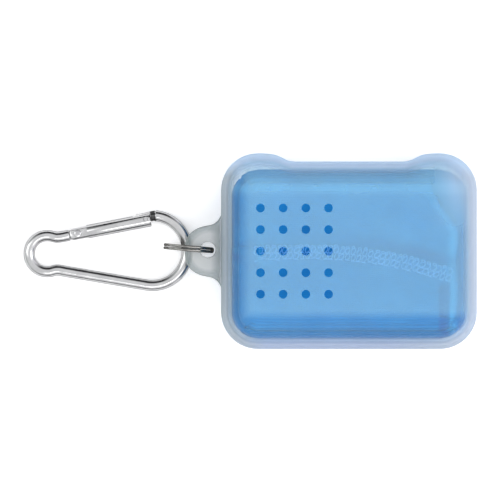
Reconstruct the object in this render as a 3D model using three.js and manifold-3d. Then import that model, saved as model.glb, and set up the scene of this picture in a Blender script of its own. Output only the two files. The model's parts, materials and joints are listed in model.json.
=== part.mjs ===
// A folded cooling towel in a soft silicone travel case, hung on a snap-hook carabiner by a split ring.
// Millimetres, +Z up. The case lies on its back, its vented front face up, its tab towards -X.
// The origin is under the middle of the whole object, on the surface that it lies on.
import * as THREE from "three";
import { mergeVertices, toCreasedNormals } from "three/addons/utils/BufferGeometryUtils.js";
import Module from "manifold-3d";

// ---- Silicone case ----
const caseLength = 90.4;
const caseWidth = 69.2; // over the two shoulders beside the mouth
const caseDepth = 27;
const caseWall = 1.8;
const caseCornerRadius = 13; // in plan
const caseEdgeRadius = 10.5; // between the faces and the sides
const mouthDip = 2.3; // how far the mouth's lips lie below the shoulders
const dipRamp = 13; // each ramp's length, from the lips up to its shoulder
const shoulderFlat = 0.6; // between a ramp and the corner beside it
const mouthInset = 19.2; // from the case's ends to the mouth's ends
const mouthGap = 13; // between the front lip and the back lip
const ventColumns = 4;
const ventRows = 5;
const ventPitchX = 8;
const ventPitchY = 7.6;
const ventDiameter = 3.1;
const ventInset = 13.9; // from the case's tab side to the first column

// ---- Tab on the case's end ----
const tabReach = 12.9;
const tabRootWidth = 28;
const tabNeckWidth = 18.6; // where the root's flares end
const tabThickness = 2.6;
const tabRounding = 0.9;
const tabHoleDiameter = 5.4;
const tabHoleInset = 8.2; // from the nose to the middle of the hole
const tabHoleY = 0.5;
const tabFlareReach = 3.6; // how far the root's flares run along the tab
const tabTaper = 0.8; // how much each side draws in from the flares to the shoulder
const tabShoulder = 0.6; // where the sides start to round into the nose, as a share of the reach

// ---- Towel bundle and its sewn hem ----
const towelShyness = 1.6; // what the bundle stops short of the end walls
const towelEdgeRadius = 8.6;
const towelCornerRadius = 1.5; // of the bundle's flat faces, in plan
const hemWidth = 5.2;
const hemThickness = 0.7;
const hemSlope = -5.2; // how much lower the hem's far end lies
const hemEndInset = 7.6; // from the bundle's ends to the hem's ends
const hemBow = 1.4; // how far the hem's middle bows up
const hemDrop = 3; // the hem's start lies this far under the bundle's middle line
const touchGap = 0.3;

// ---- Split ring ----
const ringOuterDiameter = 18;
const ringWireRadial = 1.3;
const ringWireAxial = 1.0;
const ringCoilGap = 0.12;
const ringWireCorner = 0.3; // the wire's corners are broken by this much
const ringTurnDeg = -5.1; // how far the ring's plane is turned from the length
const ringLeanDeg = 32; // the steepest the ring can hang below the tab
const ringStepDeg = 34; // the stretch where the wire steps from coil to coil
const ringOffHole = 0.36; // the wire passes the tab's hole this far off its middle
const ringY = 1;
const tableGap = 0.05;
const ringSteps = 92;

// ---- Carabiner ----
const clipLength = 60.1;
const rodDiameter = 4;
const bowRadius = 12.4; // wide end, to the rod's middle
const loopRadius = 6.43; // narrow end, to the rod's middle
const loopOffset = -1.1; // the narrow end lies off the bow's middle line
const rodClearance = 0.25; // to the ring's wire
const rodOffRing = 0.6; // the rod lies this far off the ring's middle
const bowY = 0.2;
const armAngleDeg = 9.6;
const loopOpenDeg = 70; // the narrow end's round part reaches this far to each side
const waistBend = 1.6; // how long the bends beside the loop run on straight
const pivotAhead = 10.8; // the gate's pivot from the middle of the loop
const pivotAbove = 7.1;
const noseAngleDeg = 84; // where the bow ends
const noseAboveGate = 1.03; // the rod's end lies off the gate's axis
const rodSides = 16;
const rodSteps = 96;

// ---- Gate ----
const gateDiameter = 4.8;
const gateBore = 3.2;
const gateOverPivot = 2.75; // from the pivot to the gate's round end
const gateNoseGap = 2; // from the gate's free end to the bow's shoulder
const webThickness = 0.8; // the spring's seat inside the gate
const hookPocket = 6; // the bore that takes the hooked nose
const eyeThickness = 1.8;
const eyeReach = 2; // from the pivot to the eye's flat end
const eyeHalfHeight = 1.7;
const sideGap = 0.3;
const rivetDiameter = 1.5;
const rivetHead = 2.6;
const rivetHeadHeight = 0.35;
const rivetGap = 0.12; // under each head
const cheekFlat = 1.95; // the gate's flats beside the pivot, from its axis
const pinDiameter = 1.3;
const pinFromEnd = 1.55;
const pinAboveAxis = 0.5;
const pinGap = 0.2;
const hookThickness = 1.3;
const neckStep = 0.35; // how much thinner than the rod the neck is
const neckGap = 0.55; // from the gate's free end to the neck
const plungerDiameter = 2.6;
const plungerLength = 3;
const springDiameter = 2.5;
const springWire = 0.36;
const springTurns = 11;
const springStepsPerTurn = 12;

const wasm = await Module();
wasm.setup();

const radians = THREE.MathUtils.degToRad;
const creaseDeg = 30; // a sharper edge than this is shaded as an edge

// ---- Solids, joins and cuts ----

// The closed solid that a geometry bounds.
function solid(geometry) {
  const bare = new THREE.BufferGeometry();
  bare.setAttribute("position", geometry.getAttribute("position"));
  if (geometry.index) bare.setIndex(geometry.index);
  const merged = mergeVertices(bare, 1e-4);
  return new wasm.Manifold(
    new wasm.Mesh({
      numProp: 3,
      vertProperties: merged.attributes.position.array,
      triVerts: new Uint32Array(merged.index.array),
    }),
  );
}

// A solid's surface as a geometry again.
function surface(body) {
  const mesh = body.getMesh();
  const geometry = new THREE.BufferGeometry();
  geometry.setAttribute("position", new THREE.BufferAttribute(mesh.vertProperties, 3));
  geometry.setIndex(new THREE.BufferAttribute(mesh.triVerts, 1));
  return geometry;
}

function join(geometries) {
  return geometries.map(solid).reduce((all, next) => all.add(next));
}

function cut(body, geometries) {
  return geometries.map(solid).reduce((rest, next) => rest.subtract(next), body);
}

function part(name, geometry, look) {
  const mesh = new THREE.Mesh(toCreasedNormals(geometry, radians(creaseDeg)), look);
  mesh.name = name;
  return mesh;
}

// ---- Shapes used by several pieces ----

function flatExtrusion(shape, low, high, curveSegments = 8) {
  const geometry = new THREE.ExtrudeGeometry(shape, {
    depth: high - low,
    bevelEnabled: false,
    curveSegments,
  });
  return geometry.translate(0, 0, low);
}

// A plate or a box whose rim is rounded over by a quarter circle on both faces.
// The shape is the outline of its flat faces, and the rim stands out from it by the rounding.
function pillow(shape, low, high, rounding, roundSegments, curveSegments) {
  const geometry = new THREE.ExtrudeGeometry(shape, {
    depth: high - low - 2 * rounding,
    bevelEnabled: true,
    bevelThickness: rounding,
    bevelSize: rounding,
    bevelSegments: roundSegments,
    curveSegments,
  });
  return geometry.translate(0, 0, low + rounding);
}

function cylinderAlongX(radius, from, to, sides = 24) {
  const geometry = new THREE.CylinderGeometry(radius, radius, to - from, sides);
  return geometry.rotateZ(-Math.PI / 2).translate((from + to) / 2, 0, 0);
}

function cylinderAlongZ(radius, from, to, x, y, sides = 24) {
  const geometry = new THREE.CylinderGeometry(radius, radius, to - from, sides);
  return geometry.rotateX(Math.PI / 2).translate(x, y, (from + to) / 2);
}

function block(low, high) {
  const size = high.map((value, axis) => value - low[axis]);
  const middle = high.map((value, axis) => (value + low[axis]) / 2);
  return new THREE.BoxGeometry(...size).translate(...middle);
}

function circle(radius, sides) {
  const points = [];
  for (let i = 0; i < sides; i += 1) {
    const angle = (2 * Math.PI * i) / sides;
    points.push(new THREE.Vector2(radius * Math.cos(angle), radius * Math.sin(angle)));
  }
  return new THREE.Shape(points);
}

function sweep(curve, section, steps) {
  return new THREE.ExtrudeGeometry(section, {
    extrudePath: curve,
    steps,
    bevelEnabled: false,
  });
}

// A flat path, as a curve in space.
class FlatCurve extends THREE.Curve {
  constructor(path) {
    super();
    this.path = path;
  }

  getPoint(t, target = new THREE.Vector3()) {
    const point = this.path.getPointAt(t);
    return target.set(point.x, point.y, 0);
  }
}

// ---- Layout ----
// The layout's x runs from the case's tab side. Everything is moved to the origin at the end.

const halfWidth = caseWidth / 2;
const tabHeight = caseDepth / 2;
const holeX = -tabReach + tabHoleInset;
const ringOuterRadius = ringOuterDiameter / 2;
const ringInnerRadius = ringOuterRadius - ringWireRadial;
const ringMeanRadius = ringOuterRadius - ringWireRadial / 2;
const rodRadius = rodDiameter / 2;
const gateRadius = gateDiameter / 2;

// The ring stands on the table where it reaches it, and otherwise hangs as low as the tab lets it.
const ringZ = Math.max(
  ringOuterRadius + tableGap,
  tabHeight - ringMeanRadius * Math.sin(radians(ringLeanDeg)),
);
const ringDrop = tabHeight - ringZ;
const ringX = holeX + ringOffHole - Math.sqrt(ringMeanRadius ** 2 - ringDrop ** 2);

// The rod lies in the ring, on its lower wire, under the tab's nose.
const rodX = ringX - rodOffRing;
const rodReach = ringInnerRadius - rodRadius - rodClearance;
const rodZ = ringZ - Math.sqrt(rodReach ** 2 - rodOffRing ** 2);

// In the carabiner's own frame the bow's middle is at 0, 0.
const loopX = -(clipLength - bowRadius - loopRadius - rodDiameter);
const loopY = loopOffset;
const pivot = new THREE.Vector2(loopX + pivotAhead, loopY + pivotAbove);
const nose = new THREE.Vector2(
  bowRadius * Math.cos(radians(noseAngleDeg)),
  bowRadius * Math.sin(radians(noseAngleDeg)),
);
const gateAngle = Math.atan2(nose.y - noseAboveGate - pivot.y, nose.x - pivot.x);
const gateSpan = Math.hypot(nose.y - noseAboveGate - pivot.y, nose.x - pivot.x);
const gateEnd = gateSpan - gateNoseGap;

// In the gate's own frame the pivot is at 0, 0 and the free end is towards +X.
const eyeShoulder = Math.hypot(gateOverPivot, eyeThickness / 2) + sideGap;
const slotHalf = eyeThickness / 2 + sideGap;
const slotEnd = Math.hypot(eyeReach, eyeHalfHeight) + 3 * sideGap;
const plungerFace = eyeReach + sideGap;
const plungerBack = plungerFace + plungerLength;
const webHigh = gateEnd - hookPocket;
const webLow = webHigh - webThickness;
const pinX = gateEnd - pinFromEnd;

// Its narrow end rests on the table, so the carabiner tilts down from the ring.
const clipTilt = Math.asin((rodZ - rodRadius - tableGap) / (bowRadius - loopX + loopRadius));
const leftEnd = rodX - (bowRadius - loopX + loopRadius) * Math.cos(clipTilt) - rodRadius;
const objectMiddle = (leftEnd + caseLength) / 2;

// ---- Silicone case ----

// The case's outline, drawn in from its true edge by inset. The mouth's dip is in its +Y side.
function caseOutline(inset) {
  const left = inset;
  const right = caseLength - inset;
  const low = -halfWidth + inset;
  const high = halfWidth - inset;
  const radius = Math.max(caseCornerRadius - inset, 0.5);
  const middle = caseLength / 2;
  const dip = high - mouthDip;
  const rampHalf = middle - caseCornerRadius - shoulderFlat;
  const flatHalf = rampHalf - dipRamp;
  const shape = new THREE.Shape();
  shape.moveTo(left + radius, low);
  shape.lineTo(right - radius, low);
  shape.absarc(right - radius, low + radius, radius, -Math.PI / 2, 0, false);
  shape.lineTo(right, high - radius);
  shape.absarc(right - radius, high - radius, radius, 0, Math.PI / 2, false);
  shape.lineTo(middle + rampHalf, high);
  ramp(shape, middle + rampHalf, high, middle + flatHalf, dip);
  shape.lineTo(middle - flatHalf, dip);
  ramp(shape, middle - flatHalf, dip, middle - rampHalf, high);
  shape.lineTo(left + radius, high);
  shape.absarc(left + radius, high - radius, radius, Math.PI / 2, Math.PI, false);
  shape.lineTo(left, low + radius);
  shape.absarc(left + radius, low + radius, radius, Math.PI, 1.5 * Math.PI, false);
  return shape;
}

function ramp(shape, fromX, fromY, toX, toY) {
  const halfX = (fromX + toX) / 2;
  shape.bezierCurveTo(halfX, fromY, halfX, toY, toX, toY);
}

function caseSkin(inset) {
  const rounding = caseEdgeRadius - inset;
  return pillow(caseOutline(caseEdgeRadius), inset, caseDepth - inset, rounding, 5, 5);
}

function tabOutline() {
  const root = caseWall / 6; // the tab grows out of the wall
  const nose = -tabReach + tabRounding;
  const flare = tabRootWidth / 2 - tabRounding;
  const neck = tabNeckWidth / 2 - tabRounding;
  const flareX = -tabFlareReach / 6;
  const flareY = neck + 0.5;
  const shoulder = -tabShoulder * tabReach;
  const side = neck - tabTaper;
  const roundX = nose + 2;
  const roundY = neck - 2 * tabTaper;
  const shape = new THREE.Shape();
  shape.moveTo(root, flare);
  shape.quadraticCurveTo(flareX, flareY, -tabFlareReach, neck);
  shape.lineTo(shoulder, side);
  shape.bezierCurveTo(roundX, roundY, nose, neck / 2, nose, 0);
  shape.bezierCurveTo(nose, -neck / 2, roundX, -roundY, shoulder, -side);
  shape.lineTo(-tabFlareReach, -neck);
  shape.quadraticCurveTo(flareX, -flareY, root, -flare);
  return shape;
}

function tab() {
  const low = tabHeight - tabThickness / 2;
  return pillow(tabOutline(), low, low + tabThickness, tabRounding, 3, 6);
}

function ventHoles() {
  const holes = [];
  const firstY = ((ventRows - 1) / 2) * ventPitchY;
  for (let column = 0; column < ventColumns; column += 1) {
    for (let row = 0; row < ventRows; row += 1) {
      const x = ventInset + column * ventPitchX;
      const y = firstY - row * ventPitchY;
      holes.push(cylinderAlongZ(ventDiameter / 2, caseDepth / 2, caseDepth + 1, x, y, 12));
    }
  }
  return holes;
}

// The slot through the case's +Y side, with round ends.
function mouthSlot() {
  const radius = mouthGap / 2;
  const middle = caseLength / 2;
  const half = middle - mouthInset - radius;
  const shape = new THREE.Shape();
  shape.moveTo(middle - half, -radius);
  shape.lineTo(middle + half, -radius);
  shape.absarc(middle + half, 0, radius, -Math.PI / 2, Math.PI / 2, false);
  shape.lineTo(middle - half, radius);
  shape.absarc(middle - half, 0, radius, Math.PI / 2, 1.5 * Math.PI, false);
  const depth = caseWall * 2 + mouthDip;
  const slot = flatExtrusion(shape, 0, depth + 1, 8);
  return slot.rotateX(Math.PI / 2).translate(0, halfWidth + 1, caseDepth / 2);
}

function siliconeCase() {
  const shell = solid(caseSkin(0)).add(solid(tab()));
  const hole = cylinderAlongZ(tabHoleDiameter / 2, 0, caseDepth, holeX, tabHoleY, 20);
  return surface(cut(shell, [caseSkin(caseWall), mouthSlot(), hole, ...ventHoles()]));
}

// ---- Towel ----

const bundleLeft = caseWall + towelShyness;
const bundleRight = caseLength - bundleLeft;
const bundleLow = -halfWidth + caseWall + towelShyness;
const bundleHigh = halfWidth - mouthDip - caseWall - towelShyness;
const bundleBottom = caseWall + touchGap;
const hemTop = caseDepth - caseWall - touchGap;
const bundleTop = hemTop - hemThickness - touchGap;

function roundedRectangle(left, right, low, high, radius) {
  const shape = new THREE.Shape();
  shape.moveTo(left + radius, low);
  shape.absarc(right - radius, low + radius, radius, -Math.PI / 2, 0, false);
  shape.absarc(right - radius, high - radius, radius, 0, Math.PI / 2, false);
  shape.absarc(left + radius, high - radius, radius, Math.PI / 2, Math.PI, false);
  shape.absarc(left + radius, low + radius, radius, Math.PI, 1.5 * Math.PI, false);
  return shape;
}

function towel() {
  const inset = towelEdgeRadius;
  const outline = roundedRectangle(
    bundleLeft + inset,
    bundleRight - inset,
    bundleLow + inset,
    bundleHigh - inset,
    towelCornerRadius,
  );
  return pillow(outline, bundleBottom, bundleTop, towelEdgeRadius, 4, 3);
}

// The hem crosses the bundle's front face in a shallow slanting bow.
function hemLine(share) {
  const left = bundleLeft + hemEndInset;
  const right = bundleRight - hemEndInset;
  const bow = hemBow * Math.sin(Math.PI * share);
  const middleY = hemWidth / 2 - hemDrop + bow + hemSlope * share ** 2;
  return new THREE.Vector2(left + (right - left) * share, middleY);
}

function towelHem() {
  const steps = 16;
  const upper = [];
  const lower = [];
  for (let i = 0; i <= steps; i += 1) {
    const point = hemLine(i / steps);
    upper.push(new THREE.Vector2(point.x, point.y + hemWidth / 2));
    lower.unshift(new THREE.Vector2(point.x, point.y - hemWidth / 2));
  }
  return flatExtrusion(new THREE.Shape([...lower, ...upper]), bundleTop + touchGap, hemTop);
}

// ---- Split ring ----

// Two turns of wire. One steps across to the other over a short stretch, where the ends are.
class SplitRingCurve extends THREE.Curve {
  getPoint(t, target = new THREE.Vector3()) {
    const step = radians(ringStepDeg);
    const start = step / 2;
    const angle = start + t * (4 * Math.PI - step);
    const across = THREE.MathUtils.smoothstep(angle, 2 * Math.PI - start, 2 * Math.PI + start);
    const layer = (ringWireAxial + ringCoilGap) * (across - 0.5);
    return target.set(ringMeanRadius * Math.cos(angle), ringMeanRadius * Math.sin(angle), layer);
  }
}

function wireSection(axial, radial) {
  const corner = ringWireCorner;
  const halfA = axial / 2;
  const halfR = radial / 2;
  return new THREE.Shape([
    new THREE.Vector2(-halfA + corner, -halfR),
    new THREE.Vector2(halfA - corner, -halfR),
    new THREE.Vector2(halfA, -halfR + corner),
    new THREE.Vector2(halfA, halfR - corner),
    new THREE.Vector2(halfA - corner, halfR),
    new THREE.Vector2(-halfA + corner, halfR),
    new THREE.Vector2(-halfA, halfR - corner),
    new THREE.Vector2(-halfA, -halfR + corner),
  ]);
}

function splitRing() {
  return sweep(new SplitRingCurve(), wireSection(ringWireAxial, ringWireRadial), ringSteps);
}

// ---- Carabiner body ----

// The rod's middle line, from the nose round the bow, along the arm and round the loop to the eye.
function rodPath() {
  const noseAngle = radians(noseAngleDeg);
  const armStart = -Math.PI / 2 - radians(armAngleDeg);
  const armX = Math.cos(armStart) * bowRadius;
  const armY = Math.sin(armStart) * bowRadius;
  const armLength = (armX - loopX - loopRadius) / Math.cos(radians(armAngleDeg));
  const armEnd = new THREE.Vector2(
    armX - armLength * Math.cos(radians(armAngleDeg)),
    armY + armLength * Math.sin(radians(armAngleDeg)),
  );
  const loopOpen = radians(loopOpenDeg);
  const path = new THREE.Path();
  path.absarc(0, 0, bowRadius, noseAngle, armStart, true);
  path.lineTo(armEnd.x, armEnd.y);
  bend(path, armEnd, Math.PI - radians(armAngleDeg), onLoop(-loopOpen), -loopOpen - Math.PI / 2);
  path.absarc(loopX, loopY, loopRadius, -loopOpen, loopOpen, true);
  const shoulder = gatePoint(-eyeShoulder, 0);
  bend(path, onLoop(loopOpen), loopOpen - Math.PI / 2, shoulder, gateAngle);
  return path;
}

function onLoop(angle) {
  return new THREE.Vector2(
    loopX + loopRadius * Math.cos(angle),
    loopY + loopRadius * Math.sin(angle),
  );
}

// A smooth bend that leaves one point in one direction and reaches the other in another.
function bend(path, from, fromAngle, to, toAngle) {
  path.bezierCurveTo(
    from.x + waistBend * Math.cos(fromAngle),
    from.y + waistBend * Math.sin(fromAngle),
    to.x - waistBend * Math.cos(toAngle),
    to.y - waistBend * Math.sin(toAngle),
    to.x,
    to.y,
  );
}

// A point given along the gate and off its axis, in the carabiner's frame.
function gatePoint(along, off) {
  return new THREE.Vector2(along, off).rotateAround(new THREE.Vector2(), gateAngle).add(pivot);
}

function inGateFrame(geometry) {
  return geometry.rotateZ(gateAngle).translate(pivot.x, pivot.y, 0);
}

// The flattened eye that carries the rivet, in the gate's frame.
function eye() {
  const shape = new THREE.Shape();
  const chamfer = 0.4;
  const inRod = -eyeShoulder - 1; // the eye starts inside the rod's end
  shape.moveTo(inRod, -eyeHalfHeight);
  shape.lineTo(eyeReach - chamfer, -eyeHalfHeight);
  shape.lineTo(eyeReach, -eyeHalfHeight + chamfer);
  shape.lineTo(eyeReach, eyeHalfHeight - chamfer);
  shape.lineTo(eyeReach - chamfer, eyeHalfHeight);
  shape.lineTo(inRod, eyeHalfHeight);
  return flatExtrusion(shape, -eyeThickness / 2, eyeThickness / 2);
}

// The hooked nose that reaches into the gate's pocket and over its latch pin, in the gate's frame.
function hook() {
  const room = pinDiameter / 2 + sideGap;
  const top = noseAboveGate + rodRadius - 0.1; // just under the rod's own top
  const tip = webHigh + 0.8;
  const slope = 0.4; // how far each of the top's corners stands off its end
  const root = gateSpan + 0.2; // inside the rod's end
  const underside = -0.6;
  const shape = new THREE.Shape();
  shape.moveTo(root, underside);
  shape.lineTo(root, top);
  shape.lineTo(gateEnd - slope, top);
  shape.lineTo(tip + slope, gateRadius + slope);
  shape.lineTo(tip, gateRadius - slope);
  shape.lineTo(tip, 0);
  shape.lineTo(tip + 0.5, underside);
  shape.lineTo(pinX - room, underside);
  shape.lineTo(pinX - room, pinAboveAxis);
  shape.absarc(pinX, pinAboveAxis, room, Math.PI, 0, true);
  shape.lineTo(pinX + room, underside);
  return flatExtrusion(shape, -hookThickness / 2, hookThickness / 2, 6);
}

// The thinner neck between the bow's shoulder and the hook, in the gate's frame.
function neck() {
  const from = gateEnd + neckGap;
  const to = gateSpan + 0.6; // inside the rod's end
  return cylinderAlongX(rodRadius - neckStep, from, to).translate(0, noseAboveGate, 0);
}

function carabinerBody() {
  const rod = sweep(new FlatCurve(rodPath()), circle(rodRadius, rodSides), rodSteps);
  const metal = join([rod, inGateFrame(eye()), inGateFrame(hook()), inGateFrame(neck())]);
  const reach = gateDiameter;
  const rivetHole = cylinderAlongZ(rivetDiameter / 2 + pinGap, -reach, reach, 0, 0);
  return surface(cut(metal, [inGateFrame(rivetHole)]));
}

// ---- Gate and what is in it, in the gate's frame: the pivot at 0, 0 and the free end towards +X ----

// The rod with its pivot end turned round, so that it clears the eye's shoulder as it swings.
function gateBlank() {
  const shape = new THREE.Shape();
  shape.moveTo(gateEnd, -gateRadius);
  shape.lineTo(gateEnd, gateRadius);
  const startAngle = Math.PI - Math.asin(gateRadius / gateOverPivot);
  shape.absarc(0, 0, gateOverPivot, startAngle, 2 * Math.PI - startAngle, false);
  const profile = flatExtrusion(shape, -gateRadius, gateRadius, 12);
  return solid(cylinderAlongX(gateRadius, -gateOverPivot, gateEnd)).intersect(solid(profile));
}

function gate() {
  const far = gateDiameter;
  const springBore = cylinderAlongX(gateBore / 2, -far, webLow);
  const pocket = cylinderAlongX(gateBore / 2, webHigh, gateEnd + far);
  const eyeSlot = block([-far, -far, -slotHalf], [slotEnd, far, slotHalf]);
  const hookHalf = hookThickness / 2 + sideGap;
  const hookSlot = block([webHigh, 0, -hookHalf], [gateEnd + far, far, hookHalf]);
  const topFlat = block([-far, -far, cheekFlat], [slotEnd, far, far]);
  const bottomFlat = block([-far, -far, -far], [slotEnd, far, -cheekFlat]);
  const rivetHole = cylinderAlongZ(rivetDiameter / 2 + pinGap, -far, far, 0, 0);
  const pinHole = cylinderAlongZ(pinDiameter / 2 + pinGap, -far, far, pinX, pinAboveAxis);
  return surface(
    cut(gateBlank(), [
      springBore,
      pocket,
      eyeSlot,
      hookSlot,
      topFlat,
      bottomFlat,
      rivetHole,
      pinHole,
    ]),
  );
}

// A shank with a domed head at each end.
function rivet() {
  const under = cheekFlat + rivetGap;
  const head = rivetHead / 2;
  const shank = rivetDiameter / 2;
  const top = under + rivetHeadHeight;
  const profile = [
    [0, -top],
    [0.7 * head, -top + 0.1],
    [head, -under - 0.05],
    [head, -under],
    [shank, -under],
    [shank, under],
    [head, under],
    [head, under + 0.05],
    [0.7 * head, top - 0.1],
    [0, top],
  ].map(([radius, height]) => new THREE.Vector2(radius, height));
  return new THREE.LatheGeometry(profile, 20).rotateX(Math.PI / 2);
}

function latchPin() {
  const half = Math.sqrt(gateRadius ** 2 - (pinAboveAxis + pinDiameter / 2) ** 2);
  return cylinderAlongZ(pinDiameter / 2, -half, half, pinX, pinAboveAxis, 16);
}

function plunger() {
  return cylinderAlongX(plungerDiameter / 2, plungerFace, plungerBack, 20);
}

class SpringCurve extends THREE.Curve {
  getPoint(t, target = new THREE.Vector3()) {
    const radius = (springDiameter - springWire) / 2;
    const angle = 2 * Math.PI * springTurns * t;
    const from = plungerBack + sideGap + springWire / 2;
    const to = webLow - sideGap - springWire / 2;
    return target.set(from + (to - from) * t, radius * Math.cos(angle), radius * Math.sin(angle));
  }
}

function spring() {
  return sweep(new SpringCurve(), circle(springWire / 2, 6), springTurns * springStepsPerTurn);
}

// ---- Assembly ----

const silicone = new THREE.MeshStandardMaterial({ color: 0xd9dce8, roughness: 0.55, metalness: 0 });
const blueKnit = new THREE.MeshStandardMaterial({ color: 0x2a86d1, roughness: 0.95, metalness: 0 });
const paleThread = new THREE.MeshStandardMaterial({ color: 0x8fc0ea, roughness: 0.9, metalness: 0 });
const steel = new THREE.MeshStandardMaterial({ color: 0xb9b9bb, roughness: 0.22, metalness: 1 });
const alloy = new THREE.MeshStandardMaterial({ color: 0xd2d3d5, roughness: 0.25, metalness: 1 });

const ringMesh = part("split_ring", splitRing(), steel);
const ringGroup = new THREE.Group();
ringGroup.add(ringMesh);
ringGroup.position.set(ringX, ringY, ringZ);
ringGroup.rotation.order = "ZXY";
ringGroup.rotation.set(Math.PI / 2, 0, radians(ringTurnDeg));

const gateGroup = new THREE.Group();
gateGroup.add(
  part("carabiner_gate", gate(), alloy),
  part("gate_rivet", rivet(), steel),
  part("latch_pin", latchPin(), steel),
  part("gate_plunger", plunger(), steel),
  part("gate_spring", spring(), steel),
);
gateGroup.position.set(pivot.x, pivot.y, 0);
gateGroup.rotation.z = gateAngle;

const clipGroup = new THREE.Group();
clipGroup.add(part("carabiner_body", carabinerBody(), alloy), gateGroup);
clipGroup.position.set(rodX - bowRadius * Math.cos(clipTilt), bowY, rodZ - bowRadius * Math.sin(clipTilt));
clipGroup.rotation.y = -clipTilt;

const object = new THREE.Group();
object.add(
  part("silicone_case", siliconeCase(), silicone),
  part("towel", towel(), blueKnit),
  part("towel_hem", towelHem(), paleThread),
  ringGroup,
  clipGroup,
);
object.position.x = -objectMiddle;

export default object;
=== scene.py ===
# %% [markdown]
# # A cooling towel in a silicone travel case, on a snap-hook carabiner
# The real thing is a blue knitted towel, folded small and pushed into a soft, frosted case of silicone
# with a long mouth, a grid of vent holes and a moulded tab. A split ring joins the tab to a small
# carabiner. Every piece is built here in metres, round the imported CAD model, which is the frame.

# %% Load the frame
import json
import math

import bpy
import bmesh
import numpy as np
from mathutils import Matrix, Vector, noise


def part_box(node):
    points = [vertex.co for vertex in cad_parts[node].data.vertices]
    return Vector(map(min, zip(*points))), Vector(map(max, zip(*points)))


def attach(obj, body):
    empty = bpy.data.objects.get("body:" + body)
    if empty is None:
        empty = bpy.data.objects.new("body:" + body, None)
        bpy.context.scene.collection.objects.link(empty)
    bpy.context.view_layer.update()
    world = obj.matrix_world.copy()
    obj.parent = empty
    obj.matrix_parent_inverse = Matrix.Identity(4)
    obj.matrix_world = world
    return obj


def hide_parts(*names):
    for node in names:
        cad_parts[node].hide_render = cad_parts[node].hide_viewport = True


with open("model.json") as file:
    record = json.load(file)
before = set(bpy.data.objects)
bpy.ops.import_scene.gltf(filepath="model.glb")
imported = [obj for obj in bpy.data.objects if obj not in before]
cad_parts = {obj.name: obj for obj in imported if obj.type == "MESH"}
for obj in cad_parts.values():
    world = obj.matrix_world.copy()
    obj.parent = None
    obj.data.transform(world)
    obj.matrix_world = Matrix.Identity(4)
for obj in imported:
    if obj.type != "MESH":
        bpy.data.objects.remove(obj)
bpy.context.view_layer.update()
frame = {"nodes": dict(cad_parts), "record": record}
joints = {joint["name"]: joint for joint in frame["record"]["behaviour"]["joints"]}
MM = 0.001

# %% [markdown]
# ## Camera, floor and light
# The object lies on its back and is seen from straight above, from far away with a long lens, so that
# nothing looks tapered. A camera without turning looks down -Z with +Y up, which is just this view.
# The light is a white tent that is brighter at the right, with dark gaps low down in front and behind.
# Polished metal only looks like metal when it has something dark to reflect. The floor is a light
# table, which glows a little, so that no hard shadow is left round the object.

# %% Camera
def linked(name, data):
    """A new object in the scene, at the origin."""
    obj = bpy.data.objects.new(name, data)
    bpy.context.scene.collection.objects.link(obj)
    return obj


CAMERA_HEIGHT = 4.0
FRAME_WIDTH = 0.177  # how much of the floor the picture spans
CAMERA_SPOT = (0.00007, 0.00039)
SENSOR = 36

lens = bpy.data.cameras.new("camera")
lens.sensor_width = SENSOR
lens.lens = SENSOR * (CAMERA_HEIGHT - 10 * MM) / FRAME_WIDTH
lens.clip_end = 20
camera = linked("camera", lens)
camera.location = (*CAMERA_SPOT, CAMERA_HEIGHT)
bpy.context.scene.camera = camera
bpy.context.scene.view_settings.view_transform = "Standard"
print("lens", round(lens.lens, 1), "mm")


# %% Light
def softbox(name, place, size, power, colour=(1, 1, 1)):
    light = bpy.data.lights.new(name, "AREA")
    light.shape = "RECTANGLE"
    light.size, light.size_y = size
    light.energy, light.color = power, colour
    lamp = linked(name, light)
    lamp.location = place
    lamp.rotation_euler = Vector(place).to_track_quat("Z", "Y").to_euler()


softbox("left_box", (-1.3, 0.3, 1.2), (0.7, 1.4), 5)
softbox("right_box", (1.3, 0.1, 1.3), (0.7, 1.4), 8, (0.97, 0.97, 1.0))
softbox("front_box", (0.25, -0.9, 1.6), (1.2, 0.35), 5)

# %% [markdown]
# ## Helpers for meshes and materials
# Each piece is written in millimetres, the unit its maker would use, and made in metres at the origin.

# %% Helpers for meshes
def new_object(name, verts, faces, scale=MM, edges=()):
    """A mesh object at the origin, with its place in its mesh."""
    mesh = bpy.data.meshes.new(name)
    mesh.from_pydata([tuple(float(c) * scale for c in v) for v in verts], list(edges), faces)
    mesh.update()
    return linked(name, mesh)


def applied(obj):
    """Turns what the modifiers make into the object's plain mesh."""
    graph = bpy.context.evaluated_depsgraph_get()
    mesh = bpy.data.meshes.new_from_object(obj.evaluated_get(graph))
    obj.modifiers.clear()
    obj.data = mesh
    mesh.name = obj.name
    return obj


def carve(obj, cutter, how="DIFFERENCE"):
    """Cuts the cutter out of the object, or joins it on, and throws the cutter away."""
    change = obj.modifiers.new("carve", "BOOLEAN")
    change.object = cutter
    change.operation = how
    change.solver = "EXACT"
    applied(obj)
    bpy.data.objects.remove(cutter)
    return obj


def placed(obj, matrix):
    """Moves the mesh itself, so that the object stays at the origin."""
    obj.data.transform(matrix)
    return obj


def shift(x, y):
    return Matrix.Translation((x * MM, y * MM, 0))


def outward(obj):
    """Makes every closed shell of the mesh face outwards."""
    shape = bmesh.new()
    shape.from_mesh(obj.data)
    bmesh.ops.recalc_face_normals(shape, faces=shape.faces)
    shape.to_mesh(obj.data)
    shape.free()
    return obj


def smoothed(obj, sharp_deg=35):
    obj.data.shade_smooth()
    obj.data.set_sharp_from_angle(angle=math.radians(sharp_deg))
    return obj


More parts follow.
